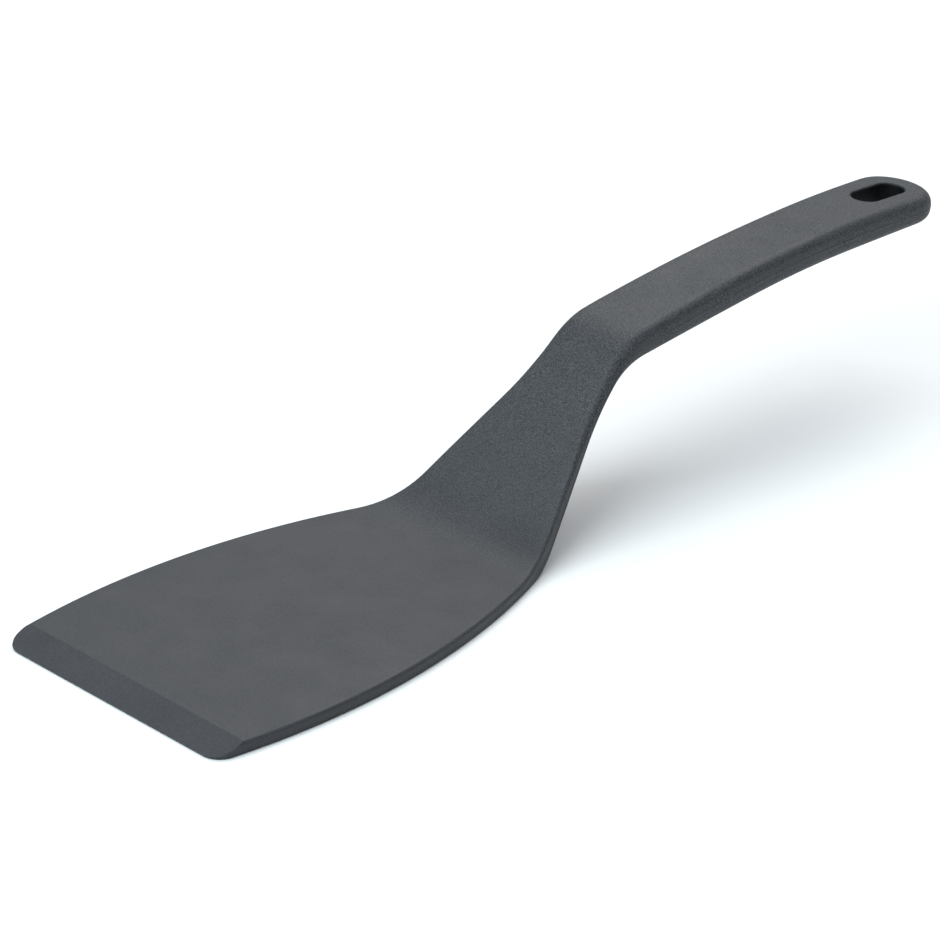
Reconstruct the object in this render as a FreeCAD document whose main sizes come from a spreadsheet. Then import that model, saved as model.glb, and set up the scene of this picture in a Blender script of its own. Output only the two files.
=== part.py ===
"""Cranked grill spatula: a steel-cored, nylon-stiffened utensil with a moulded silicone skin.

Lengths are in millimetres. X runs from the scraping edge of the blade to the end of the handle, Y across
the blade, Z up. The flat underside of the blade lies in the plane Z = 0 and the origin is below the middle
of the spatula's length. Every sub-part is symmetric about the plane Y = 0. Names that end in _x are
stations along X.
"""

import FreeCAD, Part

import math
import os

import Sketcher
from FreeCAD import Placement, Rotation, Vector

DRIVING = {
    # overall
    "total_length": (320.0, "from the scraping edge to the handle's end, along X"),
    # side view, upper face: the corners of the line that the arcs round off
    "blade_thick": (3.5, "thickness of the blade"),
    "heel_top_x": (-30.6, "upper corner of the bend at the blade's heel"),
    "heel_top_radius": (28.0, "radius of the upper face at the heel"),
    "crank_top_x": (18.8, "upper corner of the bend below the handle"),
    "crank_top_z": (50.0, "its height"),
    "crank_top_radius": (22.0, "radius of the upper face at that bend"),
    "arch_top_x": (100.0, "upper corner of the handle's arch"),
    "arch_top_z": (60.9, "its height"),
    "arch_top_radius": (560.0, "radius of the arch's upper face"),
    "tail_x": (180.0, "station past the handle's end that the side view runs to"),
    "tail_top_z": (54.2, "height of the upper line there"),
    # side view, lower face
    "heel_low_x": (-26.9, "lower corner of the bend at the heel"),
    "heel_low_radius": (16.0, "radius of the lower face at the heel"),
    "crank_low_x": (18.8, "lower corner of the bend below the handle"),
    "crank_low_z": (42.0, "its height"),
    "crank_low_radius": (21.0, "radius of the lower face at that bend"),
    "arch_low_x": (94.5, "lower corner of the handle's arch"),
    "arch_low_z": (48.3, "its height"),
    "arch_low_radius": (485.0, "radius of the arch's lower face"),
    "tail_low_z": (48.2, "height of the lower line at that station"),
    # plan view, as half widths
    "front_half": (39.3, "half width at the scraping edge"),
    "front_corner": (5.8, "plan radius of the blade's front corners"),
    "belly_x": (-91.1, "corner of the blade's bowed side"),
    "belly_half": (49.4, "its half width"),
    "belly_radius": (238.0, "radius of the bowed side"),
    "neck_x": (7.9, "corner where the neck runs into the handle"),
    "neck_half": (12.9, "its half width"),
    "neck_radius": (56.0, "radius of that corner"),
    "waist_x": (90.0, "corner of the handle's slim waist"),
    "waist_half": (11.2, "its half width"),
    "waist_radius": (2400.0, "radius of the waist"),
    "tail_half": (12.8, "half width that the sides reach at the handle's end"),
    "end_flat": (0.5, "half width of the flat between the two round corners of the handle's end"),
    # edges, bevel and hanging slot
    "tip_thick": (0.5, "thickness left at the scraping edge"),
    "bevel_length": (8.8, "length of the bevel behind the scraping edge"),
    "blade_round": (1.15, "edge rounding of the blade's upper face"),
    "under_round": (0.45, "edge rounding of the blade's underside"),
    "handle_round": (3.2, "edge rounding of the handle"),
    "slot_x": (141.8, "centre of the hanging slot"),
    "slot_length": (20.0, "length of the hanging slot"),
    "slot_width": (8.8, "width of the hanging slot"),
    "slot_round": (0.9, "rounding of the slot's rims"),
    # steel core
    "steel_thick": (1.2, "thickness of the steel sheet"),
    "steel_margin": (5.0, "silicone beyond the sheet's side edges"),
    "steel_front": (-148.0, "start of the steel sheet"),
    "steel_corner": (6.0, "plan radius of the sheet's front corners"),
    "tang_half": (6.0, "half width of the tang in the handle"),
    "tang_end_x": (92.0, "end of the tang"),
    "tang_corner": (3.0, "plan radius of the tang's end corners"),
    "key_radius": (4.0, "radius of the holes that the silicone flows through"),
    "key_first_x": (-122.0, "first row of those holes"),
    "key_pitch_x": (30.0, "spacing of the rows"),
    "key_pitch_y": (19.0, "spacing within a row"),
    # nylon stiffeners
    "cover": (1.9, "silicone over the stiffeners' faces and sides"),
    "stiff_start_x": (37.0, "front end of the stiffeners"),
    "stiff_end_gap": (2.4, "silicone behind the stiffeners' rear end"),
    "stiff_corner": (3.0, "plan radius of their front corners"),
    "slot_lining": (1.7, "silicone lining of the slot"),
    # rivets
    "rivet_first_x": (46.0, "first rivet"),
    "rivet_pitch": (18.0, "spacing of the rivets"),
    "rivet_radius": (1.5, "radius of a rivet's shank"),
    "rivet_head_radius": (3.0, "radius of its heads"),
    "rivet_head_thick": (0.9, "thickness of each head"),
    "rivet_grip": (3.0, "distance between its two heads"),
}
KEY_ROWS = 3
KEYS_ACROSS = 3
RIVETS = 3
BEYOND = 20.0  # how far cutting tools reach past the solids
LEVEL = 1e-4  # the largest Z part of the normal of a face that counts as a wall


class Size:
    """A driving dimension, or a sum of some: its number and the expression that properties are bound to."""

    def __init__(self, value, text):
        self.value = value
        self.text = text

    def __add__(self, other):
        return Size(self.value + other.value, f"({self.text} + {other.text})")

    def __sub__(self, other):
        return Size(self.value - other.value, f"({self.text} - {other.text})")

    def __mul__(self, factor):
        return Size(self.value * factor, f"({self.text} * {factor})")

    def __neg__(self):
        return self * -1

    def times(self, other):
        """The product of two sizes."""
        return Size(self.value * other.value, f"({self.text} * {other.text})")

    def over(self, other):
        """The quotient of two sizes."""
        return Size(self.value / other.value, f"({self.text} / {other.text})")


NOTHING = Size(0.0, "0")


def size(alias):
    """The driving dimension of that name."""
    return Size(DRIVING[alias][0], f"Sizes.{alias}")


def front():
    """The station of the scraping edge."""
    return size("total_length") * -0.5


def rear():
    """The station of the handle's end."""
    return size("total_length") * 0.5


def middle(one, other):
    """The mean of two sizes."""
    return (one + other) * 0.5


def slope(start, end):
    """The angle, in degrees, of the line from one corner to another."""
    run, rise = end[0] - start[0], end[1] - start[1]
    return Size(math.degrees(math.atan2(rise.value, run.value)), f"atan2({rise.text}; {run.text})")


def sine(angle):
    """The sine of a slope."""
    return Size(math.sin(math.radians(angle.value)), f"sin({angle.text})")


def cosine(angle):
    """The cosine of a slope."""
    return Size(math.cos(math.radians(angle.value)), f"cos({angle.text})")


def make_sheet(doc):
    """The spreadsheet that holds the driving dimensions."""
    sheet = doc.addObject("Spreadsheet::Sheet", "Sizes")
    for row, (alias, (value, note)) in enumerate(DRIVING.items(), start=1):
        sheet.set(f"A{row}", note)
        sheet.set(f"B{row}", str(value))
        sheet.setAlias(f"B{row}", alias)
    doc.recompute()
    return sheet


# ---------------------------------------------------------------- sketches


def add_sketch(body, name, plane):
    """A sketch on one of the body's own origin planes."""
    sketch = body.newObject("Sketcher::SketchObject", name)
    origin = [part for part in body.Origin.OriginFeatures if part.Role == plane][0]
    sketch.AttachmentSupport = [(origin, "")]
    sketch.MapMode = "FlatFace"
    return sketch


def bind(sketch, constraint, amount):
    """Adds a dimension to a sketch and ties it to the sheet."""
    index = sketch.addConstraint(constraint)
    if amount.text != "0":
        sketch.setExpression(f"Constraints[{index}]", amount.text)


def fix_point(sketch, geometry, position, across, up):
    """Places one point of a sketch by its two coordinates."""
    for kind, amount in (("DistanceX", across), ("DistanceY", up)):
        bind(sketch, Sketcher.Constraint(kind, -1, 1, geometry, position, amount.value), amount)


def arc_between(corner, before, after, radius):
    """The arc that rounds a corner, with its two ends and its centre, as numbers."""
    to_before = (before - corner).normalize()
    to_after = (after - corner).normalize()
    half_turn = (math.pi - to_before.getAngle(to_after)) / 2
    reach = radius * math.tan(half_turn)
    inward = (to_before + to_after).normalize()
    centre = corner + inward * (radius / math.cos(half_turn))
    start = corner + to_before * reach
    end = corner + to_after * reach
    return Part.Arc(start, centre - inward * radius, end), start, end, centre


def rounded_outline(sketch, corners, closed=True):
    """Lines through the corners, with a tangent arc at each corner that has a radius.

    A corner is (across, up, radius); the radius None leaves it sharp. Each corner is a point of the sketch
    that the dimensions hold, so the outline is fully defined by the sheet.
    """
    points = [Vector(across.value, up.value, 0) for across, up, _ in corners]
    count = len(corners)
    starts, ends = {}, {}
    for index, (across, up, radius) in enumerate(corners):
        starts[index] = ends[index] = points[index]
        if radius is None:
            continue
        before, after = points[index - 1], points[(index + 1) % count]
        arc, first, last, _ = arc_between(points[index], before, after, radius.value)
        ends[index], starts[index] = first, last
        starts[index, "arc"] = arc
    line_count = count if closed else count - 1
    lines = [
        sketch.addGeometry(Part.LineSegment(starts[index], ends[(index + 1) % count]), False)
        for index in range(line_count)
    ]
    for index, (across, up, radius) in enumerate(corners):
        incoming = lines[index - 1] if closed or index > 0 else None
        outgoing = lines[index] if closed or index < count - 1 else None
        if radius is None:
            held, position = (incoming, 2) if incoming is not None else (outgoing, 1)
            if incoming is not None and outgoing is not None:
                sketch.addConstraint(Sketcher.Constraint("Coincident", incoming, 2, outgoing, 1))
            fix_point(sketch, held, position, across, up)
            continue
        held = sketch.addGeometry(Part.Point(points[index]), True)
        arc = sketch.addGeometry(starts[index, "arc"], False)
        # an arc is stored counter-clockwise, so its first end may be on the outgoing line
        first_at_incoming = sketch.getPoint(arc, 1).distanceToPoint(ends[index]) < 1e-6
        into, out_of = (1, 2) if first_at_incoming else (2, 1)
        sketch.addConstraint(Sketcher.Constraint("Tangent", incoming, 2, arc, into))
        sketch.addConstraint(Sketcher.Constraint("Tangent", arc, out_of, outgoing, 1))
        sketch.addConstraint(Sketcher.Constraint("PointOnObject", held, 1, incoming))
        sketch.addConstraint(Sketcher.Constraint("PointOnObject", held, 1, outgoing))
        fix_point(sketch, held, 1, across, up)
        bind(sketch, Sketcher.Constraint("Radius", arc, radius.value), radius)


def circle(sketch, across, up, radius):
    """One dimensioned circle."""
    centre = Vector(across.value, up.value, 0)
    ring = sketch.addGeometry(Part.Circle(centre, Vector(0, 0, 1), radius.value), False)
    fix_point(sketch, ring, 3, across, up)
    bind(sketch, Sketcher.Constraint("Radius", ring, radius.value), radius)


def stadium(sketch, centre, length, width):
    """A slot with round ends, centred on the X axis."""
    radius = width * 0.5
    reach = (length - width) * 0.5
    near, far = centre - reach, centre + reach
    ends = []
    for middle_x, first in ((near, math.pi / 2), (far, -math.pi / 2)):
        ring = Part.Circle(Vector(middle_x.value, 0, 0), Vector(0, 0, 1), radius.value)
        arc = sketch.addGeometry(Part.ArcOfCircle(ring, first, first + math.pi), False)
        fix_point(sketch, arc, 3, middle_x, NOTHING)
        ends.append(arc)
    bind(sketch, Sketcher.Constraint("Radius", ends[0], radius.value), radius)
    sketch.addConstraint(Sketcher.Constraint("Equal", ends[0], ends[1]))
    for height, near_end, far_end in ((radius.value, 1, 2), (-radius.value, 2, 1)):
        side = Part.LineSegment(Vector(near.value, height, 0), Vector(far.value, height, 0))
        line = sketch.addGeometry(side, False)
        sketch.addConstraint(Sketcher.Constraint("Tangent", ends[0], near_end, line, 1))
        sketch.addConstraint(Sketcher.Constraint("Tangent", ends[1], far_end, line, 2))


def both_sides(corners):
    """A closed plan outline from its corners on the +Y side, front to rear."""
    return corners + [(across, -up, radius) for across, up, radius in reversed(corners)]


# ---------------------------------------------------------------- features


def pad(body, sketch, name, thickness):
    """Extrudes a sketch to both sides."""
    feature = body.newObject("PartDesign::Pad", name)
    feature.Profile = sketch
    feature.SideType = "Symmetric"
    feature.setExpression("Length", thickness.text)
    return feature


def cut_through(body, sketch, name):
    """Cuts a sketch through the whole body, to both sides."""
    feature = body.newObject("PartDesign::Pocket", name)
    feature.Profile = sketch
    feature.SideType = "Symmetric"
    feature.Type = "ThroughAll"
    return feature


def frame_around(sketch, half_width):
    """A rectangle well outside the part, so that a pocket keeps only what its inner outline holds."""
    ahead = front() - Size(BEYOND, str(BEYOND))
    behind = size("tail_x") + Size(BEYOND, str(BEYOND))
    side = half_width * 2.0
    corners = [(ahead, side), (behind, side), (behind, -side), (ahead, -side)]
    rounded_outline(sketch, [(across, up, None) for across, up in corners])


# ---------------------------------------------------------------- outlines shared by the sub-parts


def upper_line(depth):
    """The corners of the upper face over the handle, that far below the skin."""
    return [
        (size("crank_top_x"), size("crank_top_z") - depth, None),
        (size("arch_top_x"), size("arch_top_z") - depth, size("arch_top_radius") - depth),
        (size("tail_x"), size("tail_top_z") - depth, None),
    ]


def lower_line(height):
    """The corners of the lower face under the handle, that far above the skin."""
    return [
        (size("crank_low_x"), size("crank_low_z") + height, None),
        (size("arch_low_x"), size("arch_low_z") + height, size("arch_low_radius") + height),
        (size("tail_x"), size("tail_low_z") + height, None),
    ]


def middle_line():
    """The corners of the line midway between the two faces, from the heel to the handle's end."""
    return [
        (
            middle(size("heel_top_x"), size("heel_low_x")),
            size("blade_thick") * 0.5,
            middle(size("heel_top_radius"), size("heel_low_radius")),
        ),
        (
            middle(size("crank_top_x"), size("crank_low_x")),
            middle(size("crank_top_z"), size("crank_low_z")),
            middle(size("crank_top_radius"), size("crank_low_radius")),
        ),
        (
            middle(size("arch_top_x"), size("arch_low_x")),
            middle(size("arch_top_z"), size("arch_low_z")),
            middle(size("arch_top_radius"), size("arch_low_radius")),
        ),
        (size("tail_x"), middle(size("tail_top_z"), size("tail_low_z")), None),
    ]


def shifted(corners, distance):
    """The corners of a line parallel to the given one, that far above it; its ends move straight up."""
    moved = []
    last = len(corners) - 1
    for index, (across, up, radius) in enumerate(corners):
        into = slope(corners[max(index, 1) - 1], corners[max(index, 1)])
        out_of = slope(corners[min(index, last - 1)], corners[min(index, last - 1) + 1])
        if index in (0, last):
            moved.append((across, up + distance.over(cosine(into)), radius))
            continue
        bisector = middle(into, out_of)
        reach = distance.over(cosine((out_of - into) * 0.5))
        turns_left = out_of.value > into.value
        new_radius = radius - distance if turns_left else radius + distance
        moved.append((across - reach.times(sine(bisector)), up + reach.times(cosine(bisector)), new_radius))
    return moved


def plan_outline():
    """The corners of the skin's plan outline on the +Y side."""
    return [
        (front(), size("front_half"), size("front_corner")),
        (size("belly_x"), size("belly_half"), size("belly_radius")),
        (size("neck_x"), size("neck_half"), size("neck_radius")),
        (size("waist_x"), size("waist_half"), size("waist_radius")),
        (rear(), size("tail_half"), size("tail_half") - size("end_flat")),
    ]


# ---------------------------------------------------------------- sub-parts


def skin_blank(doc):
    """The outer form of the spatula, before its edges are rounded."""
    body = doc.addObject("PartDesign::Body", "SkinBlank")
    side = add_sketch(body, "SkinSide", "XZ_Plane")
    upper = [
        (size("heel_top_x"), size("blade_thick"), size("heel_top_radius")),
        (size("crank_top_x"), size("crank_top_z"), size("crank_top_radius")),
        (size("arch_top_x"), size("arch_top_z"), size("arch_top_radius")),
        (size("tail_x"), size("tail_top_z"), None),
    ]
    lower = [
        (size("heel_low_x"), NOTHING, size("heel_low_radius")),
        (size("crank_low_x"), size("crank_low_z"), size("crank_low_radius")),
        (size("arch_low_x"), size("arch_low_z"), size("arch_low_radius")),
        (size("tail_x"), size("tail_low_z"), None),
    ]
    edge = [(front(), NOTHING, None), (front(), size("blade_thick"), None)]
    rounded_outline(side, edge + upper + lower[::-1])
    pad(body, side, "SkinPad", size("belly_half") * 2.2)
    plan = add_sketch(body, "SkinPlan", "XY_Plane")
    rounded_outline(plan, both_sides(plan_outline()))
    frame_around(plan, size("belly_half"))
    cut_through(body, plan, "SkinPlanCut")
    slot = add_sketch(body, "SlotPlan", "XY_Plane")
    stadium(slot, size("slot_x"), size("slot_length"), size("slot_width"))
    cut_through(body, slot, "SlotCut")
    doc.recompute()
    return body


def share_between(value, start, end):
    """How far a value lies from start to end, from 0 to 1."""
    return min(max((value - start) / (end - start), 0), 1)


def rounding_at(across, is_lower):
    """The edge rounding at a station: small on the blade, least on its underside, growing along the neck."""
    grown = share_between(across, DRIVING["heel_low_x"][0], DRIVING["stiff_start_x"][0])
    blade = DRIVING["under_round" if is_lower else "blade_round"][0]
    return blade * (1 - grown) + DRIVING["handle_round"][0] * grown


def is_below_middle(edge):
    """Whether an edge of the outline belongs to the lower face."""
    point = edge.valueAt(sum(edge.ParameterRange) / 2)
    corners = [(x.value, z.value) for x, z, _ in middle_line()]
    if point.x < corners[0][0]:
        return point.z < corners[0][1]
    for (start_x, start_z), (end_x, end_z) in zip(corners, corners[1:]):
        if point.x < end_x:
            return point.z < start_z + (end_z - start_z) * share_between(point.x, start_x, end_x)
    return False


def rim_edges(shape):
    """The numbers of the edges around the outline, and of those around the slot.

    A rim edge separates a face whose normal is vertical in plan from a wall, so exactly one of its two faces
    is a wall.
    """
    outline, slot = [], []
    slot_reach = DRIVING["slot_length"][0] / 2
    for number, edge in enumerate(shape.Edges, start=1):
        walls = 0
        for face in shape.ancestorsOfType(edge, Part.Face):
            u, v = face.Surface.parameter(edge.valueAt(edge.FirstParameter))
            walls += abs(face.normalAt(u, v).z) < LEVEL
        if walls != 1:
            continue
        box = edge.BoundBox
        beside_slot = abs(box.Center.x - DRIVING["slot_x"][0]) < slot_reach
        near_middle = max(box.YMax, -box.YMin) < DRIVING["slot_width"][0]
        (slot if beside_slot and near_middle else outline).append((number, edge))
    return outline, slot


def round_edges(doc, blank):
    """Rounds the skin's outline edges, with a radius that grows along the neck, and the slot's rims."""
    outline, slot = rim_edges(blank.Shape)
    radii = [(number, DRIVING["slot_round"][0], DRIVING["slot_round"][0]) for number, _ in slot]
    for number, edge in outline:
        first, last = (edge.valueAt(parameter).x for parameter in edge.ParameterRange)
        is_lower = is_below_middle(edge)
        radii.append((number, rounding_at(first, is_lower), rounding_at(last, is_lower)))
    rounded = doc.addObject("Part::Fillet", "SkinRounded")
    rounded.Base = blank
    rounded.Edges = radii
    doc.recompute()
    return rounded


def cut(doc, name, base, tool):
    """One solid minus another."""
    result = doc.addObject("Part::Cut", name)
    result.Base = base
    result.Tool = tool
    doc.recompute()
    return result


def fuse(doc, name, shapes):
    """Several solids as one cutting tool."""
    result = doc.addObject("Part::MultiFuse", name)
    result.Shapes = shapes
    doc.recompute()
    return result


def skin_form(doc):
    """The whole outer form: the rounded blank with the bevel cut behind its scraping edge."""
    rounded = round_edges(doc, skin_blank(doc))
    wedge = doc.addObject("PartDesign::Body", "BevelTool")
    sketch = add_sketch(wedge, "BevelSide", "XZ_Plane")
    ahead = front() - size("blade_thick")
    behind = front() + size("bevel_length")
    above = size("blade_thick") * 3.0
    corners = [
        (ahead, size("tip_thick"), None),
        (front(), size("tip_thick"), None),
        (behind, size("blade_thick"), None),
        (behind, above, None),
        (ahead, above, None),
    ]
    rounded_outline(sketch, corners)
    pad(wedge, sketch, "BevelPad", size("belly_half") * 2.2)
    doc.recompute()
    return cut(doc, "SkinForm", rounded, wedge)


def sheet_side(sketch):
    """The side view of the steel sheet: a band of even thickness along the middle of the skin."""
    half = size("steel_thick") * 0.5
    centre = [(size("steel_front"), size("blade_thick") * 0.5, None)] + middle_line()
    rounded_outline(sketch, shifted(centre, half) + shifted(centre, -half)[::-1])


def steel_blank(doc):
    """The bent steel sheet with its flow-through holes, before the rivet holes."""
    body = doc.addObject("PartDesign::Body", "SteelBlank")
    side = add_sketch(body, "SteelSide", "XZ_Plane")
    sheet_side(side)
    pad(body, side, "SteelPad", size("belly_half") * 2.2)
    plan = add_sketch(body, "SteelPlan", "XY_Plane")
    margin = size("steel_margin")
    outline = [
        (size("steel_front"), size("front_half") - size("steel_corner") * 0.6, size("steel_corner")),
        (size("belly_x"), size("belly_half") - margin, size("belly_radius") * 0.7),
        (size("neck_x"), size("tang_half"), size("neck_radius") + margin),
        (size("tang_end_x"), size("tang_half"), size("tang_corner")),
    ]
    rounded_outline(plan, both_sides(outline))
    frame_around(plan, size("belly_half"))
    cut_through(body, plan, "SteelPlanCut")
    keys = add_sketch(body, "KeyHoles", "XY_Plane")
    for row in range(KEY_ROWS):
        for across in range(KEYS_ACROSS):
            along = size("key_first_x") + size("key_pitch_x") * row
            aside = size("key_pitch_y") * (across - (KEYS_ACROSS - 1) / 2)
            circle(keys, along, aside, size("key_radius"))
    cut_through(body, keys, "KeyHolesCut")
    doc.recompute()
    return body


def stiffener_blank(doc, name, top, bottom):
    """One nylon half of the handle's core between two lines of the side view."""
    body = doc.addObject("PartDesign::Body", name)
    side = add_sketch(body, f"{name}Side", "XZ_Plane")
    rounded_outline(side, top + bottom[::-1])
    pad(body, side, f"{name}Pad", size("neck_half") * 3.0)
    plan = add_sketch(body, f"{name}Plan", "XY_Plane")
    cover = size("cover")
    start_half = middle(size("neck_half"), size("waist_half")) - cover
    end_half = size("tail_half") - cover
    outline = [
        (size("stiff_start_x"), start_half, size("stiff_corner")),
        (size("waist_x"), size("waist_half") - cover, size("waist_radius")),
        (rear() - size("stiff_end_gap"), end_half, end_half - size("end_flat")),
    ]
    rounded_outline(plan, both_sides(outline))
    frame_around(plan, size("neck_half"))
    cut_through(body, plan, f"{name}PlanCut")
    slot = add_sketch(body, f"{name}Slot", "XY_Plane")
    lining = size("slot_lining") * 2.0
    stadium(slot, size("slot_x"), size("slot_length") + lining, size("slot_width") + lining)
    cut_through(body, slot, f"{name}SlotCut")
    doc.recompute()
    return body


def middle_at(across):
    """The height and the slope in degrees of the middle line on the handle's arch."""
    corners = [Vector(x.value, z.value, 0) for x, z, _ in middle_line()[1:]]
    radius = middle_line()[2][2].value
    _, start, _, centre = arc_between(corners[1], corners[0], corners[2], radius)
    if across < start.x:
        direction = corners[1] - corners[0]
        return corners[0].y + direction.y / direction.x * (across - corners[0].x), slope_of(direction)
    height = centre.y + math.sqrt(radius**2 - (across - centre.x) ** 2)
    return height, slope_of(Vector(height - centre.y, centre.x - across, 0))


def slope_of(direction):
    """The angle of a direction in the side view, in degrees."""
    return math.degrees(math.atan2(direction.y, direction.x))


def rivet_place(index):
    """Where a rivet sits: on the middle line and square to it."""
    across = DRIVING["rivet_first_x"][0] + DRIVING["rivet_pitch"][0] * index
    height, angle = middle_at(across)
    return Placement(Vector(across, 0, height), Rotation(Vector(0, 1, 0), -angle))


def revolved(doc, name, corners, place):
    """A turned solid from half of its profile, given as (radius, height) corners."""
    body = doc.addObject("PartDesign::Body", name)
    sketch = add_sketch(body, f"{name}Profile", "XZ_Plane")
    rounded_outline(sketch, [(radius, height, None) for radius, height in corners])
    turned = body.newObject("PartDesign::Revolution", f"{name}Turned")
    turned.Profile = sketch
    turned.ReferenceAxis = (sketch, ["V_Axis"])
    turned.Angle = 360.0
    body.Placement = place
    doc.recompute()
    return body


def rivet(doc, name, place):
    """A rivet with a flat head at each end of its shank."""
    grip = size("rivet_grip") * 0.5
    top = grip + size("rivet_head_thick")
    shank, head = size("rivet_radius"), size("rivet_head_radius")
    half = [(head, top), (head, grip), (shank, grip)]
    other = [(radius, -height) for radius, height in reversed(half)]
    return revolved(doc, name, [(NOTHING, -top), (NOTHING, top)] + half + other, place)


def counterbore(doc, name, place, side):
    """The cutting tool that lets a rivet's head sink into the nylon on one side."""
    grip = size("rivet_grip") * (0.5 * side)
    mouth = grip + size("rivet_head_thick") * (4.0 * side)
    head = size("rivet_head_radius")
    return revolved(doc, name, [(NOTHING, grip), (NOTHING, mouth), (head, mouth), (head, grip)], place)


# ---------------------------------------------------------------- assembly


def build(doc):
    """Makes every sub-part and returns them by name."""
    make_sheet(doc)
    names = ("core_rivet_front", "core_rivet_middle", "core_rivet_rear")
    rivets = [rivet(doc, f"Rivet{index + 1}", rivet_place(index)) for index in range(RIVETS)]
    sinks = [
        counterbore(doc, f"Sink{index + 1}{word}", rivet_place(index), side)
        for index in range(RIVETS)
        for word, side in (("Upper", 1), ("Lower", -1))
    ]
    holes = fuse(doc, "RivetHoles", rivets + sinks)
    steel = steel_blank(doc)
    steel_core = cut(doc, "SteelCore", steel, fuse(doc, "RivetShanks", rivets))
    crank_x, crank_z, _ = middle_line()[1]
    joint = shifted([(crank_x, crank_z, None)] + middle_line()[2:], size("steel_thick") * 0.5)
    upper = stiffener_blank(doc, "UpperBlank", upper_line(size("cover")), joint)
    lower = stiffener_blank(doc, "LowerBlank", joint, lower_line(size("cover")))
    upper_core = cut(doc, "UpperCore", upper, holes)
    lower_core = cut(doc, "LowerCore", cut(doc, "LowerDrilled", lower, holes), steel)
    filling = fuse(doc, "CoreFilling", [steel_core, upper_core, lower_core] + rivets)
    skin = cut(doc, "Skin", skin_form(doc), filling)
    parts = {"silicone_skin": skin, "steel_core": steel_core}
    parts |= {"handle_core_upper": upper_core, "handle_core_lower": lower_core}
    return parts | dict(zip(names, rivets))


def check(doc, parts):
    """Stops the run if an object failed or if a sub-part isn't one sound solid."""
    for item in doc.Objects:
        if "Invalid" in item.State or "Error" in item.State:
            raise RuntimeError(f"{item.Name} failed: {item.State}")
    for name, item in parts.items():
        shape = item.Shape
        if shape.isNull() or not shape.isValid() or len(shape.Solids) != 1:
            raise RuntimeError(f"{name} isn't one sound solid")
        print(f"{name}: {shape.Volume:.1f} mm3, {len(shape.Faces)} faces")


def main():
    """Builds, checks and exports the spatula."""
    os.makedirs("parts", exist_ok=True)
    doc = FreeCAD.newDocument("GrillSpatula")
    parts = build(doc)
    for name, item in parts.items():
        item.Label = name
    doc.recompute()
    check(doc, parts)
    for name, item in parts.items():
        item.Shape.exportStep(f"parts/{name}.step")


main()
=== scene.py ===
"""Looks of the cranked grill spatula: a moulded silicone skin over its packed steel and nylon core.

Everything is in metres in the row frame: X from the scraping edge to the handle's end, Y across, Z up.
"""

import logging
import math
from dataclasses import dataclass, field
from enum import Enum

import bmesh
import bpy
import numpy as np
from mathutils import Matrix, Vector

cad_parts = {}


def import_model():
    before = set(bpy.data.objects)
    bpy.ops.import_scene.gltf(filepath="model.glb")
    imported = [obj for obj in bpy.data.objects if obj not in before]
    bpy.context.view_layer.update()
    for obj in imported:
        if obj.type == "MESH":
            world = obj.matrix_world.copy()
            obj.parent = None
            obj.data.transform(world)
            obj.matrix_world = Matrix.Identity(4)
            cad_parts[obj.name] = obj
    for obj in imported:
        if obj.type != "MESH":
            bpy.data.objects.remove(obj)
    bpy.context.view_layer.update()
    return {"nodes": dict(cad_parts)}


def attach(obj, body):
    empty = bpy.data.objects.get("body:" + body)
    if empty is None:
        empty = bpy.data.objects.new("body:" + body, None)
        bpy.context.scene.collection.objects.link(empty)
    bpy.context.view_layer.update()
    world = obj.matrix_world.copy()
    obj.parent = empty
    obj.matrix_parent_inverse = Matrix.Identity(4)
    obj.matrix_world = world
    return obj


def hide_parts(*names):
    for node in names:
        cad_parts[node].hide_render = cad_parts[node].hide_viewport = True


LOG = logging.getLogger("grill_spatula")
MM = 0.001
Corner = tuple[float, float, float]
Colour = tuple[float, float, float]
Span = tuple[float, float]
WHITE: Colour = (1.0, 1.0, 1.0)


class Face(Enum):
    """The two broad faces of the moulding."""

    UPPER = 1
    UNDER = -1


def smooth_step(value: np.ndarray | float, start: float, end: float) -> np.ndarray | float:
    """Eased share, from 0 at start to 1 at end."""
    share = np.clip((np.asarray(value, float) - start) / (end - start), 0.0, 1.0)
    return share * share * (3.0 - 2.0 * share)


def plateau(value: np.ndarray, zone: tuple[float, float, float, float]) -> np.ndarray:
    """Eased share that rises over the zone's first two values and falls over its last two."""
    rise_start, rise_end, fall_start, fall_end = zone
    return smooth_step(value, rise_start, rise_end) * (1 - smooth_step(value, fall_start, fall_end))


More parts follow.
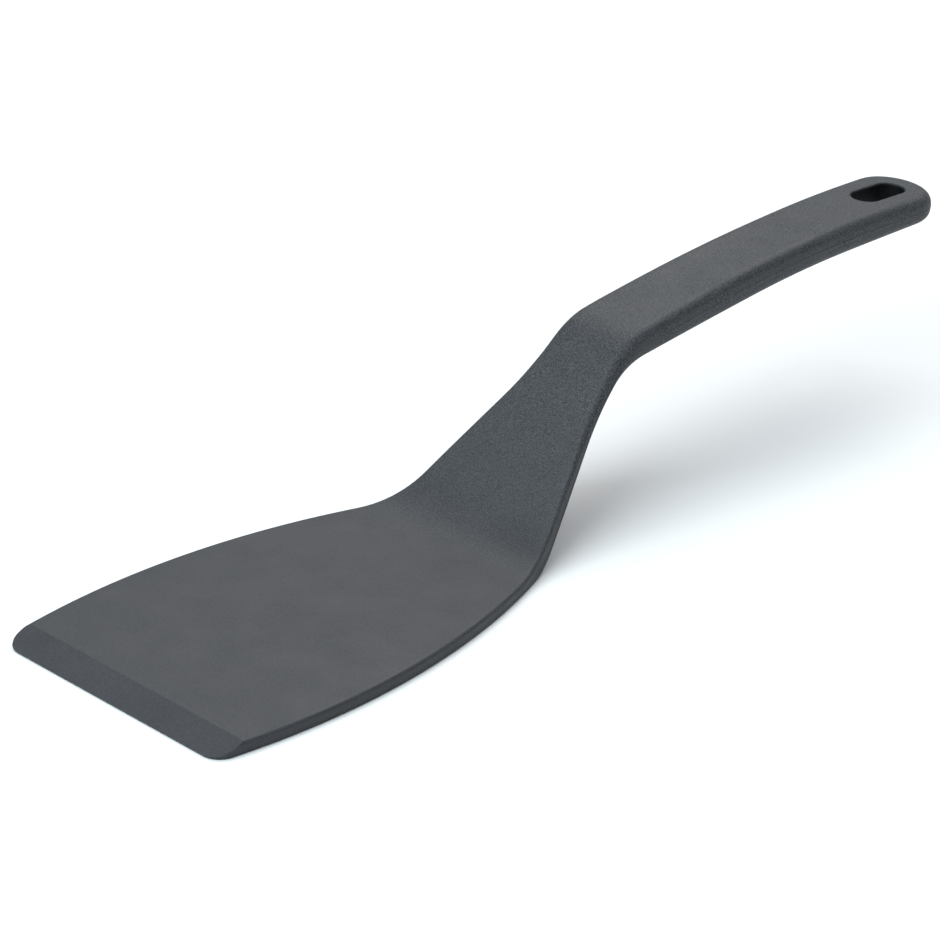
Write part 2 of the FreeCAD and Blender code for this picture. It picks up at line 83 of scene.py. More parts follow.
@dataclass(frozen=True)
class RoundedLine:
    """A polyline whose inner corners are rounded by tangent arcs.

    Args:
        corners: (x, z, radius) of each corner in millimetres; the radius of the first and last is unused.
        tilt_step: half the distance over which the slope is taken, in millimetres.
    """

    corners: tuple[Corner, ...]
    tilt_step: float = 0.05

    def arcs(self) -> list[tuple[np.ndarray, np.ndarray, np.ndarray, float]]:
        """Start, end, centre and radius of each corner's arc."""
        found = []
        for before, corner, after in zip(self.corners, self.corners[1:], self.corners[2:]):
            point, radius = np.array(corner[:2]), corner[2]
            back = np.array(before[:2]) - point
            ahead = np.array(after[:2]) - point
            back /= np.linalg.norm(back)
            ahead /= np.linalg.norm(ahead)
            half = (math.pi - math.acos(float(back @ ahead))) / 2
            inward = (back + ahead) / np.linalg.norm(back + ahead)
            reach = radius * math.tan(half)
            centre = point + inward * radius / math.cos(half)
            found.append((point + back * reach, point + ahead * reach, centre, radius))
        return found

    def height(self, stations: np.ndarray) -> np.ndarray:
        """Height of the line over each station.

        Args:
            stations: positions along the first axis, in millimetres.

        Returns:
            The heights, in millimetres.
        """
        stations = np.asarray(stations, float)
        knots = np.array([corner[:2] for corner in self.corners])
        heights = np.interp(stations, knots[:, 0], knots[:, 1])
        for start, end, centre, radius in self.arcs():
            inside = (stations > start[0]) & (stations < end[0])
            side = 1.0 if start[1] > centre[1] else -1.0
            rise = np.sqrt(np.maximum(radius**2 - (stations - centre[0]) ** 2, 0.0))
            heights = np.where(inside, centre[1] + side * rise, heights)
        return heights

    def tilt(self, stations: np.ndarray) -> np.ndarray:
        """Slope angle of the line at each station, in radians."""
        rise = self.height(stations + self.tilt_step) - self.height(stations - self.tilt_step)
        return np.arctan2(rise, 2 * self.tilt_step)


@dataclass(frozen=True)
class PlanOutline:
    """Half of the plan outline on the +Y side, from the scraping edge to the handle's end.

    Args:
        corners: (x, half width, radius) of each corner in millimetres.
        front: station of the scraping edge.
        rear: station of the handle's end.
        arc_step: greatest turn between two points, in radians.
        straight_step: greatest distance between two points, in millimetres.
    """

    corners: tuple[Corner, ...]
    front: float = -160.0
    rear: float = 160.0
    arc_step: float = math.radians(4.0)
    straight_step: float = 1.6

    def trace(self) -> tuple[np.ndarray, np.ndarray]:
        """Points of the outline and their outward normals, front to rear."""
        ends = ((self.front, 0.0, 0.0), (self.rear, 0.0, 0.0))
        line = RoundedLine((ends[0],) + self.corners + (ends[1],))
        points: list[np.ndarray] = []
        normals: list[np.ndarray] = []
        arcs = line.arcs()
        for index, (start, end, centre, radius) in enumerate(arcs):
            first, last = start - centre, end - centre
            turn = math.atan2(first[0] * last[1] - first[1] * last[0], float(first @ last))
            length = abs(turn) * radius
            turns, lengths = abs(turn) / self.arc_step, length / self.straight_step
            count = max(math.ceil(turns), math.ceil(lengths), 2)
            bulges = 1.0 if turn < 0 else -1.0
            for share in np.linspace(0, 1, count + 1):
                angle = math.atan2(first[1], first[0]) + turn * share
                spoke = np.array([math.cos(angle), math.sin(angle)])
                points.append(centre + spoke * radius)
                normals.append(spoke * bulges)
            if index + 1 < len(arcs):
                gap = arcs[index + 1][0] - end
                steps = int(math.ceil(np.linalg.norm(gap) / self.straight_step))
                for share in np.arange(1, steps) / max(steps, 1):
                    points.append(end + gap * share)
                    normals.append(normals[-1])
        return np.array(points), np.array(normals)


@dataclass(frozen=True)
class HangingSlot:
    """The round-ended slot through the handle's end, in millimetres."""

    centre: float = 141.8
    length: float = 20.0
    width: float = 8.8
    rim: float = 0.9
    start: float = 126.0

    def spokes(self, points: np.ndarray) -> tuple[np.ndarray, np.ndarray]:
        """Feet on the slot's mid-line and unit spokes from them towards each point.

        Args:
            points: plan points outside the slot.

        Returns:
            The feet and the spokes, one row for each point.
        """
        reach = (self.length - self.width) / 2
        along = np.clip(points[:, 0], self.centre - reach, self.centre + reach)
        feet = np.stack([along, np.zeros(len(points))], 1)
        spokes = points - feet
        return feet, spokes / np.linalg.norm(spokes, axis=1, keepdims=True)


@dataclass
class SiliconeSkin:
    """The seamless moulded skin: blade, cranked neck and arched handle, worked out in millimetres."""

    upper: RoundedLine = RoundedLine(
        (
            (-170.0, 3.5, 0),
            (-30.6, 3.5, 28.0),
            (18.8, 50.0, 22.0),
            (100.0, 60.9, 560.0),
            (180.0, 54.2, 0),
        )
    )
    under: RoundedLine = RoundedLine(
        (
            (-170.0, 0.0, 0),
            (-26.9, 0.0, 16.0),
            (18.8, 42.0, 21.0),
            (94.5, 48.3, 485.0),
            (180.0, 48.2, 0),
        )
    )
    outline: PlanOutline = PlanOutline(
        (
            (-160.0, 39.3, 5.8),
            (-91.1, 49.4, 238.0),
            (7.9, 12.9, 56.0),
            (90.0, 11.2, 2400.0),
            (160.0, 12.8, 12.3),
        )
    )
    slot: HangingSlot = field(default_factory=HangingSlot)
    blade_round: float = 1.15
    under_round: float = 0.45
    handle_round: float = 3.2
    round_start: float = -26.9
    round_end: float = 22.0
    crown: float = 0.35
    crown_zone: tuple[float, float, float, float] = (-24.0, 4.0, 16.0, 34.0)
    dish: float = 0.6
    dish_zone: tuple[float, float, float, float] = (26.0, 50.0, 95.0, 125.0)
    curved_half: float = 12.0
    clearance: float = 0.03
    draft: float = math.tan(math.radians(2.0))
    blade_thick: float = 3.5
    bevel_length: float = 8.8
    bevel_margin: float = 3.0
    tip_thick: float = 0.5
    parting_blade: float = 0.16
    parting_handle: float = 0.5
    parting_zone: Span = (-30.0, 30.0)
    parting_half: float = 0.16
    parting_proud: float = 0.07
    fillet_steps: int = 8
    across_steps: int = 40
    slot_rings: int = 7
    support: float = 0.45
    name: str = "silicone_skin_moulding"

    def rounding(self, stations: np.ndarray, face: Face) -> np.ndarray:
        """Edge rounding at each station: small on the blade, growing along the neck."""
        share = smooth_step(stations, self.round_start, self.round_end)
        blade = self.blade_round if face is Face.UPPER else self.under_round
        return blade + (self.handle_round - blade) * share

    def parting_share(self, stations: np.ndarray) -> np.ndarray:
        """Where the mould's parting line runs, as a share of the side's height from below."""
        share = smooth_step(stations, *self.parting_zone)
        return self.parting_blade + (self.parting_handle - self.parting_blade) * share

    def face_height(self, plan: np.ndarray, face: Face) -> np.ndarray:
        """Height of a broad face at plan points, with the neck's crown and the handle's hollow."""
        stations, aside = plan[:, 0], plan[:, 1]
        if face is Face.UNDER:
            return self.under.height(stations)
        across = np.minimum((aside / self.curved_half) ** 2, 1.0)
        crowned = self.crown * plateau(stations, self.crown_zone)
        dished = self.dish * plateau(stations, self.dish_zone)
        return self.upper.height(stations) - crowned * across - dished * (1 - across)

    def edge_profile(self, plan: np.ndarray, normals: np.ndarray, face: Face) -> list[np.ndarray]:
        """Rings of points round one face's rounded edge, from the side wall inwards.

        Args:
            plan: outline points, one row each.
            normals: their outward normals.
            face: which broad face the edge belongs to.

        Returns:
            One array of (x, y, z) rows for each ring.
        """
        line = self.upper if face is Face.UPPER else self.under
        radius = self.rounding(plan[:, 0], face)
        share = self.parting_share(plan[:, 0])
        reach = 1 - share if face is Face.UPPER else share
        inset = self.draft * self.side_height(plan) * reach + self.parting_proud + self.clearance
        rings = []
        angles = [math.pi / 2 * step / self.fillet_steps for step in range(self.fillet_steps + 1)]
        for angle in angles + [None]:
            if angle is None:
                inward, drop = inset + radius + self.support, radius * 0
            else:
                inward, drop = inset + radius * (1 - math.cos(angle)), radius * (1 - math.sin(angle))
            moved = plan - normals * inward[:, None]
            lean = np.cos(line.tilt(moved[:, 0]))
            height = self.face_height(moved, face) - face.value * drop / lean
            rings.append(np.column_stack([moved, height]))
        return rings

    def side_height(self, plan: np.ndarray) -> np.ndarray:
        """Height of the side between the two rounded edges at outline points."""
        above, below = self.rounding(plan[:, 0], Face.UPPER), self.rounding(plan[:, 0], Face.UNDER)
        top = self.face_height(plan, Face.UPPER) - above / np.cos(self.upper.tilt(plan[:, 0]))
        low = self.face_height(plan, Face.UNDER) + below / np.cos(self.under.tilt(plan[:, 0]))
        return top - low

    def wall_rows(
        self, plan: np.ndarray, normals: np.ndarray, top: np.ndarray, low: np.ndarray
    ) -> list[np.ndarray]:
        """Rows of the drafted side wall, with the fine ridge of the parting line.

        Args:
            plan: outline points, one row each.
            normals: their outward normals.
            top: the first ring of the upper rounded edge.
            low: the first ring of the lower rounded edge.

        Returns:
            One array of (x, y, z) rows for each row of the wall, from below.
        """
        share = self.parting_share(plan[:, 0])
        high = top[:, 2] - low[:, 2]
        rows = []
        ridge = self.parting_half / high
        for level, proud in (
            (share * 0.5, 0.0),
            (share - ridge, 0.0),
            (share, self.parting_proud),
            (share + ridge, 0.0),
            (share + (1 - share) * 0.5, 0.0),
        ):
            inset = self.draft * high * np.abs(level - share) + self.parting_proud + self.clearance - proud
            moved = plan - normals * inset[:, None]
            rows.append(np.column_stack([moved, low[:, 2] + high * level]))
        return rows

    def loop(self, points: np.ndarray, normals: np.ndarray) -> tuple[np.ndarray, np.ndarray]:
        """The closed outline: the scraping edge from -Y to +Y, the +Y side, then the -Y side back.

        Args:
            points: outline points of the +Y side, front to rear.
            normals: their outward normals.

        Returns:
            The points and the normals of the whole loop.
        """
        shares = np.linspace(-1, 1, self.across_steps + 1)
        edge = np.column_stack([np.full(len(shares), points[0, 0]), shares * points[0, 1]])
        ahead = np.tile([-1.0, 0.0], (len(shares), 1))
        mirror = np.array([1.0, -1.0])
        plan = np.vstack([edge, points[1:], (points[1:] * mirror)[::-1]])
        outward = np.vstack([ahead, normals[1:], (normals[1:] * mirror)[::-1]])
        return plan, outward

    def build(self) -> bpy.types.Object:
        """Makes the skin's mesh.

        Returns:
            The object, in metres, in the row frame.
        """
        points, normals = self.outline.trace()
        plan, outward = self.loop(points, normals)
        mesh = bmesh.new()
        edge_rows: dict[Face, list[list[bmesh.types.BMVert]]] = {}
        profile = {face: self.edge_profile(plan, outward, face) for face in Face}
        walls = self.wall_rows(plan, outward, profile[Face.UPPER][0], profile[Face.UNDER][0])
        for face in Face:
            edge_rows[face] = [self.vertices(mesh, ring) for ring in profile[face]]
            for outer, inner in zip(edge_rows[face], edge_rows[face][1:]):
                self.bridge(mesh, outer, inner, face is Face.UPPER)
        rows = [edge_rows[Face.UNDER][0]]
        rows += [self.vertices(mesh, row) for row in walls]
        rows.append(edge_rows[Face.UPPER][0])
        for lower, higher in zip(rows, rows[1:]):
            self.bridge(mesh, lower, higher, True)
        rims = {face: self.fill_face(mesh, edge_rows[face][-1], points, face) for face in Face}
        self.bridge(mesh, rims[Face.UPPER], rims[Face.UNDER], True)
        self.cut_bevel(mesh)
        bmesh.ops.scale(mesh, vec=Vector((MM,) * 3), verts=mesh.verts)
        bmesh.ops.recalc_face_normals(mesh, faces=mesh.faces)
        data = bpy.data.meshes.new(self.name)
        mesh.to_mesh(data)
        mesh.free()
        data.validate()
        skin = bpy.data.objects.new(self.name, data)
        bpy.context.scene.collection.objects.link(skin)
        return skin

    def vertices(self, mesh: bmesh.types.BMesh, points: np.ndarray) -> list[bmesh.types.BMVert]:
        """New vertices at rows of (x, y, z)."""
        return [mesh.verts.new(point) for point in points.tolist()]

    def bridge(
        self,
        mesh: bmesh.types.BMesh,
        first: list[bmesh.types.BMVert],
        second: list[bmesh.types.BMVert],
        onward: bool,
    ) -> None:
        """Quads between two closed loops of vertices of the same count.

        Args:
            mesh: where the faces go.
            first: one loop.
            second: the loop beside it.
            onward: whether the winding runs from the first loop to the second.
        """
        count = len(first)
        for index in range(count):
            after = (index + 1) % count
            quad = (first[index], first[after], second[after], second[index])
            mesh.faces.new(quad if onward else quad[::-1])

    def fill_face(
        self, mesh: bmesh.types.BMesh, loop: list[bmesh.types.BMVert], points: np.ndarray, face: Face
    ) -> list[bmesh.types.BMVert]:
        """Fills a broad face: a grid up to the slot, then rings that close in on the slot's rim.

        Args:
            mesh: where the faces go.
            loop: the innermost ring of the rounded edge.
            points: the outline's points on the +Y side.
            face: which broad face it is.

        Returns:
            The ring of vertices at the top of the slot's wall.
        """
        across, sides = self.across_steps, len(points) - 1
        last = int(np.searchsorted(points[:, 0], self.slot.start))
        row = loop[: across + 1]
        for index in range(1, last + 1):
            left, right = loop[across + index], loop[across + 2 * sides + 1 - index]
            start, end = np.array(right.co[:2]), np.array(left.co[:2])
            shares = np.linspace(0, 1, across + 1)[1:-1, None]
            inner = start + (end - start) * shares
            middle = self.vertices(mesh, np.column_stack([inner, self.face_height(inner, face)]))
            following = [right] + middle + [left]
            for step in range(across):
                quad = (row[step], row[step + 1], following[step + 1], following[step])
                mesh.faces.new(quad if face is Face.UNDER else quad[::-1])
            row = following
        ring = row + loop[across + last + 1 : across + 2 * sides + 1 - last]
        return self.close_on_slot(mesh, ring, face)

    def close_on_slot(
        self, mesh: bmesh.types.BMesh, ring: list[bmesh.types.BMVert], face: Face
    ) -> list[bmesh.types.BMVert]:
        """Rings from the handle's end to the slot, and its rounded rim.

        Args:
            mesh: where the faces go.
            ring: the closed loop of vertices round the slot's end of the handle.
            face: which broad face it is.

        Returns:
            The ring of vertices at the top of the slot's wall.
        """
        plan = np.array([vert.co[:2] for vert in ring])
        feet, spokes = self.slot.spokes(plan)
        wall = self.slot.width / 2
        shoulder = feet + spokes * (wall + self.slot.rim + self.support)
        current = ring
        for share in np.linspace(0, 1, self.slot_rings + 1)[1:]:
            moved = plan + (shoulder - plan) * share
            following = self.vertices(mesh, np.column_stack([moved, self.face_height(moved, face)]))
            self.bridge(mesh, current, following, face is Face.UPPER)
            current = following
        for step in range(self.fillet_steps + 1):
            angle = math.pi / 2 * (1 - step / self.fillet_steps)
            out, drop = self.slot.rim * (1 - math.cos(angle)), self.slot.rim * (1 - math.sin(angle))
            moved = feet + spokes * (wall + out)
            height = self.face_height(moved, face) - face.value * drop
            following = self.vertices(mesh, np.column_stack([moved, height]))
            self.bridge(mesh, current, following, face is Face.UPPER)
            current = following
        return current

    def cut_bevel(self, mesh: bmesh.types.BMesh) -> None:
        """Planes off the bevel behind the scraping edge and leaves its outline crisp."""
        front = self.outline.front
        reach = front + self.bevel_length + self.bevel_margin
        near = [face for face in mesh.faces if max(vert.co.x for vert in face.verts) < reach]
        parts = dict.fromkeys(near)  # a dict keeps its order, so the cut's faces come out the same each run
        for face in near:
            parts.update(dict.fromkeys(face.verts))
            parts.update(dict.fromkeys(face.edges))
        normal = Vector((self.tip_thick - self.blade_thick, 0, self.bevel_length)).normalized()
        cut = bmesh.ops.bisect_plane(
            mesh,
            geom=list(parts),
            dist=1e-4,
            plane_co=Vector((front, 0, self.tip_thick)),
            plane_no=normal,
            clear_outer=True,
        )
        rim = [edge for edge in cut["geom_cut"] if isinstance(edge, bmesh.types.BMEdge)]
        facet = bmesh.ops.edgeloop_fill(mesh, edges=rim)["faces"]
        for edge in rim:
            edge.smooth = False
        for face in mesh.faces:
            face.smooth = True
        for face in facet:
            face.smooth = False


class NodeTree:
    """A material's node tree, with short ways to add and join nodes."""

    def __init__(self, name: str) -> None:
        """Starts a node material with an empty Principled surface."""
        self.material = bpy.data.materials.new(name)
        self.material.use_nodes = True
        self.tree = self.material.node_tree
        self.shader = self.tree.nodes["Principled BSDF"]

    def add(self, kind: str, **settings: object) -> bpy.types.Node:
        """Adds a node and sets its properties and unlinked inputs.

        Args:
            kind: the node's type name.
            settings: property names, or input names with spaces written as underscores.

        Returns:
            The new node.
        """
        node = self.tree.nodes.new(kind)
        for key, value in settings.items():
            if hasattr(node, key):
                setattr(node, key, value)
            else:
                node.inputs[key.replace("_", " ")].default_value = value
        return node

    def join(self, source: bpy.types.NodeSocket, target: bpy.types.NodeSocket) -> None:
        """Links one socket to another."""
        self.tree.links.new(source, target)

    def maths(
        self, operation: str, first: bpy.types.NodeSocket, second: bpy.types.NodeSocket | float = 0.0
    ) -> bpy.types.NodeSocket:
        """One Math node.

        Args:
            operation: what it works out.
            first: the first value.
            second: the second value, a socket or a number.

        Returns:
            The result's socket.
        """
        node = self.add("ShaderNodeMath", operation=operation)
        self.join(first, node.inputs[0])
        if isinstance(second, bpy.types.NodeSocket):
            self.join(second, node.inputs[1])
        else:
            node.inputs[1].default_value = second
        return node.outputs["Value"]

    def blend(
        self,
        mode: str,
        share: bpy.types.NodeSocket | float,
        under: bpy.types.NodeSocket | Colour,
        over: bpy.types.NodeSocket,
    ) -> bpy.types.NodeSocket:
        """Lays one colour over another.

        Args:
            mode: the blend type.
            share: how much of the upper colour counts.
            under: the lower colour.
            over: the upper colour.

        Returns:
            The colour socket.
        """
        node = self.add("ShaderNodeMix", data_type="RGBA", blend_type=mode)
        for value, name in ((share, "Factor_Float"), (under, "A_Color"), (over, "B_Color")):
            socket = next(each for each in node.inputs if each.identifier == name)
            if isinstance(value, bpy.types.NodeSocket):
                self.join(value, socket)
            else:
                socket.default_value = value if name == "Factor_Float" else (*value, 1.0)
        return next(each for each in node.outputs if each.identifier == "Result_Color")

    def noise(
        self, scale: float, detail: float = 3.0, stretch: tuple[float, float, float] = (1, 1, 1)
    ) -> bpy.types.NodeSocket:
        """Noise in object space.

        Args:
            scale: cells for each metre.
            detail: octaves.
            stretch: scale of each axis.

        Returns:
            The noise's value socket.
        """
        place = self.add("ShaderNodeMapping")
        place.inputs["Scale"].default_value = stretch
        self.join(self.add("ShaderNodeTexCoord").outputs["Object"], place.inputs["Vector"])
        texture = self.add("ShaderNodeTexNoise", Scale=scale, Detail=detail)
        self.join(place.outputs["Vector"], texture.inputs["Vector"])
        return texture.outputs["Fac"]

    def ramp(
        self, source: bpy.types.NodeSocket, stops: tuple[tuple[float, Colour], ...]
    ) -> bpy.types.NodeSocket:
        """Colour by value.

        Args:
            source: the value.
            stops: position and linear colour of each stop.

        Returns:
            The colour socket.
        """
        node = self.add("ShaderNodeValToRGB")
        while len(node.color_ramp.elements) < len(stops):
            node.color_ramp.elements.new(0.5)
        for element, (position, colour) in zip(node.color_ramp.elements, stops):
            element.position = position
            element.color = (*colour, 1.0)
        self.join(source, node.inputs["Fac"])
        return node.outputs["Color"]

    def band(
        self, source: bpy.types.NodeSocket, low: float, high: float, span: Span = (0.3, 0.7)
    ) -> bpy.types.NodeSocket:
        """Maps a value's useful span onto low to high.

        Args:
            source: the value.
            low: the result at the span's start.
            high: the result at its end.
            span: the values that are mapped.

        Returns:
            The result's socket.
        """
        node = self.add("ShaderNodeMapRange")
        node.inputs["From Min"].default_value, node.inputs["From Max"].default_value = span
        node.inputs["To Min"].default_value, node.inputs["To Max"].default_value = low, high
        self.join(source, node.inputs["Value"])
        return node.outputs["Result"]

    def bump(
        self,
        layers: tuple[tuple[bpy.types.NodeSocket, float], ...],
        strength: bpy.types.NodeSocket | None = None,
    ) -> None:
        """Bump layers on the surface.

        Args:
            layers: a height socket and its depth in metres for each layer.
            strength: how strongly all the layers show, fully if it is None.
        """
        previous = None
        for height, depth in layers:
            node = self.add("ShaderNodeBump", Strength=1.0, Distance=depth)
            self.join(height, node.inputs["Height"])
            if strength is not None:
                self.join(strength, node.inputs["Strength"])
            if previous is not None:
                self.join(previous, node.inputs["Normal"])
            previous = node.outputs["Normal"]
        self.join(previous, self.shader.inputs["Normal"])


@dataclass(frozen=True)
class SiliconeFinish:
    """Matte blue-grey silicone: a nearly smooth blade, a spark-grained handle and painted shade on the
    slot's wall.

    Args:
        name: the material's name.
        plain: colour of the ungrained blade.
        dark: colour of the grain's hollows.
        light: colour of the grain's peaks.
        speckle_span: noise values that the grain's two colours span.
        grain: cells of fine grain for each metre.
        grain_depth: depth of the fine grain, in metres.
        grain_start: stations between which the grain grows, in metres.
        blade_grain: share of the grain that the blade has.
        coarse_grain: cells of coarse grain for each metre.
        coarse_depth: depth of the coarse grain, in metres.
        cloud: cells of the broad mottle for each metre.
        mottle: tint of the mottle's darker patches.
        mottle_span: noise values that the mottle spans.
        roughness: least and greatest roughness.
        slot_wall_painted_shade: near-black tint laid on the slot's wall as painted shade, darkening the
            recess where shadow falls.
        shine: specular level on the slot's wall and elsewhere.
        slot: the slot whose wall gets the painted shade.
    """

    name: str = "spark_grained_silicone"
    plain: Colour = (0.0272, 0.0283, 0.0335)
    dark: Colour = (0.007, 0.0085, 0.0115)
    light: Colour = (0.060, 0.0625, 0.069)
    speckle_span: Span = (0.34, 0.66)
    grain: float = 2500.0
    grain_depth: float = 0.0001
    grain_start: Span = (-0.05, 0.0)
    blade_grain: float = 0.3
    coarse_grain: float = 700.0
    coarse_depth: float = 0.00005
    cloud: float = 95.0
    mottle: Colour = (0.76, 0.78, 0.79)
    mottle_span: Span = (0.32, 0.68)
    roughness: Span = (0.5, 0.62)
    # Painted shade: the slot's wall and the inner half of its rim are tinted nearly black in the base
    # colour.
    slot_wall_painted_shade: Colour = (0.08, 0.08, 0.1)
    shine: Span = (0.12, 0.42)
    slot: HangingSlot = field(default_factory=HangingSlot)

    def slot_distance(self, tree: NodeTree, place: bpy.types.Node) -> bpy.types.NodeSocket:
        """Distance in plan from the slot's mid-line.

        Args:
            tree: the material's tree.
            place: the node that splits the surface point into X, Y and Z.

        Returns:
            The distance's socket, in metres.
        """
        reach = (self.slot.length - self.slot.width) / 2 * MM
        along = tree.maths("SUBTRACT", place.outputs["X"], self.slot.centre * MM)
        beyond = tree.maths("MAXIMUM", tree.maths("SUBTRACT", tree.maths("ABSOLUTE", along), reach), 0.0)
        aside = tree.maths("MULTIPLY", place.outputs["Y"], place.outputs["Y"])
        total = tree.maths("ADD", tree.maths("MULTIPLY", beyond, beyond), aside)
        return tree.maths("SQRT", total)

    def material(self) -> bpy.types.Material:
        """Builds the node material."""
        tree = NodeTree(self.name)
        place = tree.add("ShaderNodeSeparateXYZ")
        tree.join(tree.add("ShaderNodeTexCoord").outputs["Object"], place.inputs["Vector"])
        grained = tree.band(place.outputs["X"], self.blade_grain, 1.0, self.grain_start)
        grain = tree.noise(self.grain, 2.0)
        clouds = tree.noise(self.cloud, 3.0)
        speckle = tree.ramp(grain, tuple(zip(self.speckle_span, (self.dark, self.light))))
        colour = tree.blend("MIX", grained, self.plain, speckle)
        mottle = tree.ramp(clouds, tuple(zip(self.mottle_span, (self.mottle, WHITE))))
        colour = tree.blend("MULTIPLY", 1.0, colour, mottle)
        # Painted shade: the base colour is darkened to near black on the slot's wall and the inner half of
        # its rim, standing in for the shadow inside the slot.
        wall = (self.slot.width / 2 * MM, (self.slot.width / 2 + self.slot.rim / 2) * MM)
        distance = self.slot_distance(tree, place)
        depth = tree.band(distance, 0.0, 1.0, wall)
        shade = tree.ramp(depth, ((0.0, self.slot_wall_painted_shade), (1.0, WHITE)))
        tree.join(tree.blend("MULTIPLY", 1.0, colour, shade), tree.shader.inputs["Base Color"])
        tree.join(tree.band(clouds, *self.roughness), tree.shader.inputs["Roughness"])
        tree.join(tree.band(distance, *self.shine, wall), tree.shader.inputs["Specular IOR Level"])
        coarse = tree.noise(self.coarse_grain, 2.0)
        tree.bump(((coarse, self.coarse_depth), (grain, self.grain_depth)), grained)
        return tree.material


@dataclass(frozen=True)
class SheetSteelFinish:
    """Stainless sheet, rolled and brushed along its length."""

    name: str = "brushed_stainless_sheet"
    dark: Colour = (0.42, 0.43, 0.44)
    light: Colour = (0.62, 0.62, 0.63)
    roughness: Span = (0.28, 0.42)
    relief: float = 0.00001

    def material(self) -> bpy.types.Material:
        """Builds the node material."""
        tree = NodeTree(self.name)
        streaks = tree.noise(900.0, 3.0, (0.02, 1.0, 1.0))
        stains = tree.noise(30.0, 4.0)
        colour = tree.ramp(streaks, ((0.3, self.dark), (0.7, self.light)))
        tree.join(colour, tree.shader.inputs["Base Color"])
        tree.shader.inputs["Metallic"].default_value = 1.0
        tree.join(tree.band(stains, *self.roughness), tree.shader.inputs["Roughness"])
        tree.shader.inputs["Anisotropic"].default_value = 0.5
        tree.bump(((streaks, self.relief),))
        return tree.material


@dataclass(frozen=True)
class FilledNylonFinish:
    """Black nylon, faintly mottled by its glass fibre."""

    name: str = "glass_filled_nylon"
    dark: Colour = (0.018, 0.018, 0.02)
    light: Colour = (0.05, 0.05, 0.053)
    roughness: Span = (0.42, 0.6)
    relief: float = 0.00002

    def material(self) -> bpy.types.Material:
        """Builds the node material."""
        tree = NodeTree(self.name)
        fibres = tree.noise(1500.0, 4.0, (0.15, 1.0, 1.0))
        flow = tree.noise(60.0, 3.0, (0.3, 1.0, 1.0))
        colour = tree.ramp(fibres, ((0.35, self.dark), (0.7, self.light)))
        tree.join(colour, tree.shader.inputs["Base Color"])
        tree.join(tree.band(flow, *self.roughness), tree.shader.inputs["Roughness"])
        tree.bump(((fibres, self.relief),))
        return tree.material


@dataclass(frozen=True)
class TurnedSteelFinish:
    """Satin steel of the rivets, with fine turning marks round the shank."""

    name: str = "turned_rivet_steel"
    dark: Colour = (0.46, 0.46, 0.47)
    light: Colour = (0.64, 0.64, 0.65)
    roughness: Span = (0.25, 0.38)
    relief: float = 0.00001

    def material(self) -> bpy.types.Material:
        """Builds the node material."""
        tree = NodeTree(self.name)
        rings = tree.noise(2500.0, 2.0, (0.1, 0.1, 1.0))
        colour = tree.ramp(rings, ((0.35, self.dark), (0.65, self.light)))
        tree.join(colour, tree.shader.inputs["Base Color"])
        tree.shader.inputs["Metallic"].default_value = 1.0
        tree.join(tree.band(rings, *self.roughness), tree.shader.inputs["Roughness"])
        tree.bump(((rings, self.relief),))
        return tree.material


@dataclass
class SpatulaCore:
    """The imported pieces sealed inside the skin, which stay where the frame has them."""

    finishes: dict[str, object] = field(
        default_factory=lambda: {
            "steel_core": SheetSteelFinish(),
            "handle_core": FilledNylonFinish(),
            "core_rivet": TurnedSteelFinish(),
        }
    )

    def dress(self, nodes: dict[str, bpy.types.Object]) -> list[str]:
        """Gives each core node its finish.

        Args:
            nodes: the frame's nodes by name.

        Returns:
            The names of the nodes that were dressed.
        """
        dressed = []
        for start, finish in self.finishes.items():
            material = finish.material()
            for name in sorted(nodes):
                if name.startswith(start):
                    nodes[name].data.materials.clear()
                    nodes[name].data.materials.append(material)
                    dressed.append(name)
        return dressed


@dataclass(frozen=True)
class Softbox:
    """A square area light that points at the spatula."""

    name: str
    place: tuple[float, float, float]
    size: float
    watts: float
    colour: Colour

    def build(self, aim: Vector) -> bpy.types.Object:
        """Places the light so that it faces a point.

        Args:
            aim: the point.

        Returns:
            The lamp.
        """
        data = bpy.data.lights.new(self.name, "AREA")
        data.shape = "SQUARE"
        data.size, data.energy, data.color = self.size, self.watts, self.colour
        lamp = bpy.data.objects.new(self.name, data)
        lamp.location = self.place
        lamp.rotation_euler = (aim - Vector(self.place)).to_track_quat("-Z", "Y").to_euler()
        bpy.context.scene.collection.objects.link(lamp)
        return lamp


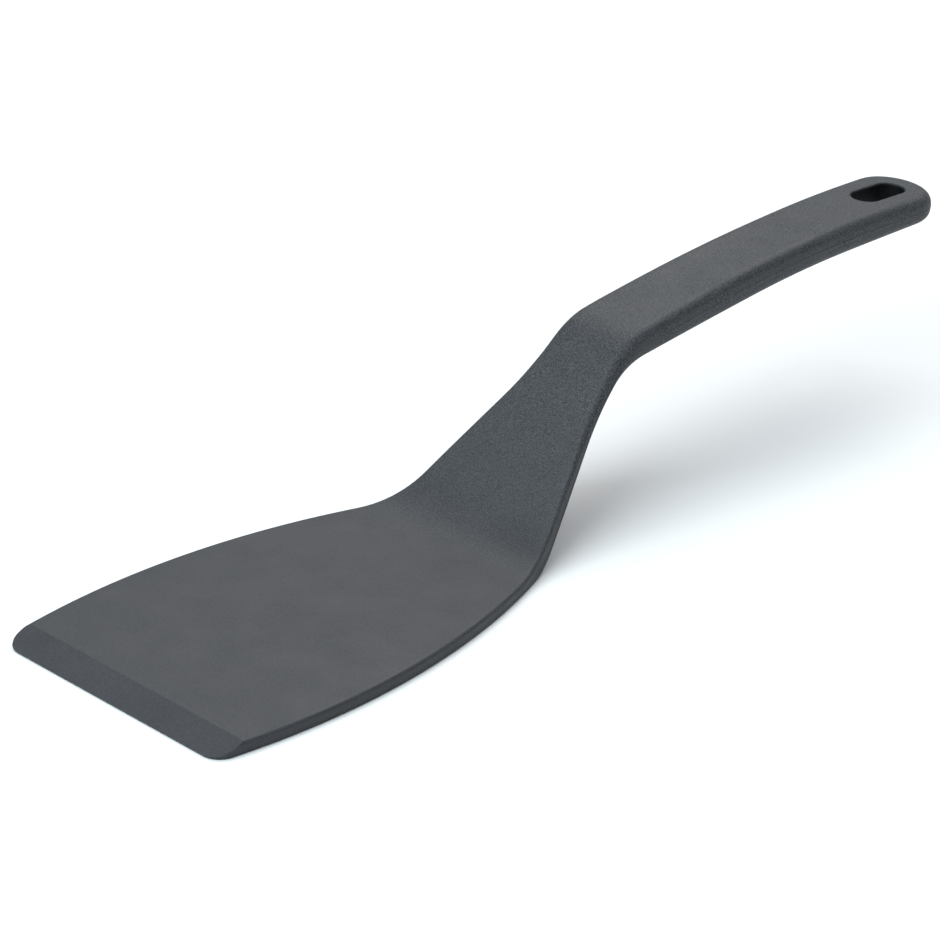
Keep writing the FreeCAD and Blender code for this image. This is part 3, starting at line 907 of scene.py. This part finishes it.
@dataclass
class Studio:
    """The pale floor, the soft lights and the camera."""

    floor_size: float = 6.0
    floor_tones: tuple[Colour, Colour] = ((0.80, 0.80, 0.80), (0.83, 0.83, 0.83))
    floor_roughness: float = 0.8
    air_colour: Colour = (0.90, 0.95, 1.0)
    air_strength: float = 0.55
    focus: tuple[float, float, float] = (-0.02202, 0.00743, 0.01695)
    azimuth: float = -47.723
    elevation: float = 26.4345
    roll: float = 2.8376
    distance: float = 1.06436
    lens: float = 149.95
    sensor: float = 36.0
    clip: Span = (0.05, 20.0)
    lights: tuple[Softbox, ...] = (
        Softbox("overhead_softbox", (0.75, 0.45, 1.25), 1.2, 14.0, (1.0, 0.985, 0.96)),
        Softbox("front_fill", (-1.15, 0.1, 0.8), 1.2, 23.0, (0.82, 0.95, 0.98)),
    )

    def floor(self) -> bpy.types.Object:
        """The pale floor, which isn't part of the spatula."""
        mesh = bmesh.new()
        bmesh.ops.create_grid(mesh, x_segments=8, y_segments=8, size=self.floor_size / 2)
        data = bpy.data.meshes.new("pale_floor")
        mesh.to_mesh(data)
        mesh.free()
        floor = bpy.data.objects.new("pale_floor", data)
        bpy.context.scene.collection.objects.link(floor)
        tree = NodeTree("pale_floor_paint")
        colour = tree.ramp(tree.noise(6.0, 2.0), tuple(zip((0.3, 0.7), self.floor_tones)))
        tree.join(colour, tree.shader.inputs["Base Color"])
        tree.shader.inputs["Roughness"].default_value = self.floor_roughness
        data.materials.append(tree.material)
        return floor

    def camera(self) -> bpy.types.Object:
        """The camera, at its bearing round the spatula."""
        angles = (self.azimuth, self.elevation, self.roll)
        azimuth, elevation, roll = (math.radians(angle) for angle in angles)
        level = Vector((math.cos(azimuth), math.sin(azimuth), 0))
        back = Vector((level.y * math.cos(elevation), -level.x * math.cos(elevation), math.sin(elevation)))
        rise = back.cross(level)
        right = level * math.cos(roll) + rise * math.sin(roll)
        up = back.cross(right)
        data = bpy.data.cameras.new("studio_camera")
        data.sensor_width, data.lens = self.sensor, self.lens
        data.clip_start, data.clip_end = self.clip
        camera = bpy.data.objects.new("studio_camera", data)
        place = Vector(self.focus) + back * self.distance
        camera.matrix_world = Matrix.Translation(place) @ Matrix((right, up, back)).transposed().to_4x4()
        bpy.context.scene.collection.objects.link(camera)
        bpy.context.scene.camera = camera
        return camera

    def world(self) -> None:
        """Even, faintly blue light from all round."""
        world = bpy.data.worlds.new("studio_air")
        world.use_nodes = True
        background = world.node_tree.nodes["Background"]
        background.inputs["Color"].default_value = (*self.air_colour, 1.0)
        background.inputs["Strength"].default_value = self.air_strength
        bpy.context.scene.world = world

    def build(self) -> None:
        """Sets up floor, lights, world and camera."""
        bpy.context.scene.view_settings.view_transform = "Standard"
        self.floor()
        for light in self.lights:
            light.build(Vector(self.focus))
        self.world()
        self.camera()


def main() -> None:
    """Builds the spatula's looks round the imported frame."""
    logging.basicConfig(level=logging.INFO, format="%(message)s")
    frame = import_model()
    skin = SiliconeSkin().build()
    skin.data.materials.append(SiliconeFinish().material())
    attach(skin, "root")
    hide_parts("silicone_skin")
    LOG.info("skin: %d faces", len(skin.data.polygons))
    LOG.info("core: %s", ", ".join(SpatulaCore().dress(frame["nodes"])))
    Studio().build()
    LOG.info("studio ready")


if __name__ == "__main__":
    main()
